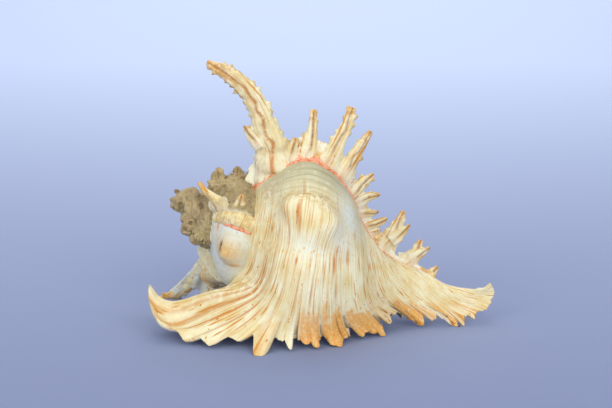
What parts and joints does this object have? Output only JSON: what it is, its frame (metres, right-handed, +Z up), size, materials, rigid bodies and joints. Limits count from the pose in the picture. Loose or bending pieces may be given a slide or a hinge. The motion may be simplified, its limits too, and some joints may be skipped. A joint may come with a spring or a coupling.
{
  "type": "murex shell",
  "caption": "Empty ramose murex seashell, resting on its aperture: knobbed whorls, frilled varices with long curved fronds, flared fringed lip and open canal.",
  "frame": {"origin": "centre of the bounding box's base, on the surface that the shell rests on", "axes": "+X from the apex towards the siphonal canal, -Y towards the lip and the picture's viewer, +Z up"},
  "size_m": [0.1654, 0.0966, 0.1249],
  "materials": {
    "shell": "matt to satin, as grown: chalky ribs with a faint polish on the smooth parts"
  },
  "bodies": {
    "root": {"shell": "shell"}
  },
  "joints": []
}
